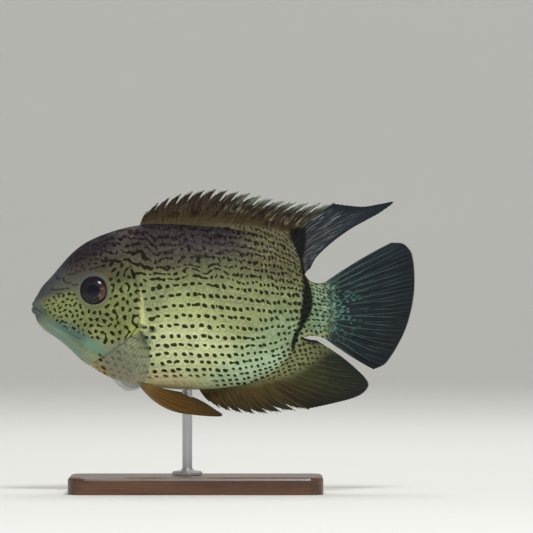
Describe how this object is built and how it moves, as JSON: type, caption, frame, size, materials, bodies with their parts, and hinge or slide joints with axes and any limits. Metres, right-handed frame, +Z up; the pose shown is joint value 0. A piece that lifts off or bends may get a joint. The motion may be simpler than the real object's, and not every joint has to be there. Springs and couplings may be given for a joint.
{
  "type": "severum fish",
  "caption": "Life-size severum, a deep-bodied freshwater fish with spread fins and rows of dark dots, held up by a steel rod over a flat wooden base.",
  "frame": {"origin": "centre of the stand base's underside", "axes": "+X from the snout towards the tail, +Y towards the fish's right flank, +Z up"},
  "size_m": [0.2006, 0.0862, 0.1579],
  "materials": {
    "skin_head": "wet scaled skin, olive and yellow green with dark worm lines",
    "skin_flank": "wet scaled skin, yellow green with rows of dark dots",
    "fin_tan": "thin tan fin membrane",
    "fin_smoke": "thin smoky blue grey fin membrane",
    "fin_amber": "thin amber fin membrane",
    "fin_clear": "thin, nearly colourless fin membrane",
    "eye": "wet dark maroon eye",
    "base": "satin walnut",
    "rod": "brushed"
  },
  "bodies": {
    "root": {"anal_fin_soft_rays": "fin_amber", "anal_fin_spines": "fin_amber", "dorsal_fin_soft_rays": "fin_smoke", "dorsal_fin_spines": "fin_tan", "eye_left": "eye", "eye_right": "eye", "head": "skin_head", "pectoral_fin_left": "fin_clear", "pectoral_fin_right": "fin_clear", "pelvic_fin_left": "fin_amber", "pelvic_fin_right": "fin_amber", "stand_base": "base", "stand_rod": "rod", "tail_fin": "fin_smoke", "tail_stem": "skin_flank", "torso": "skin_flank"}
  },
  "joints": []
}
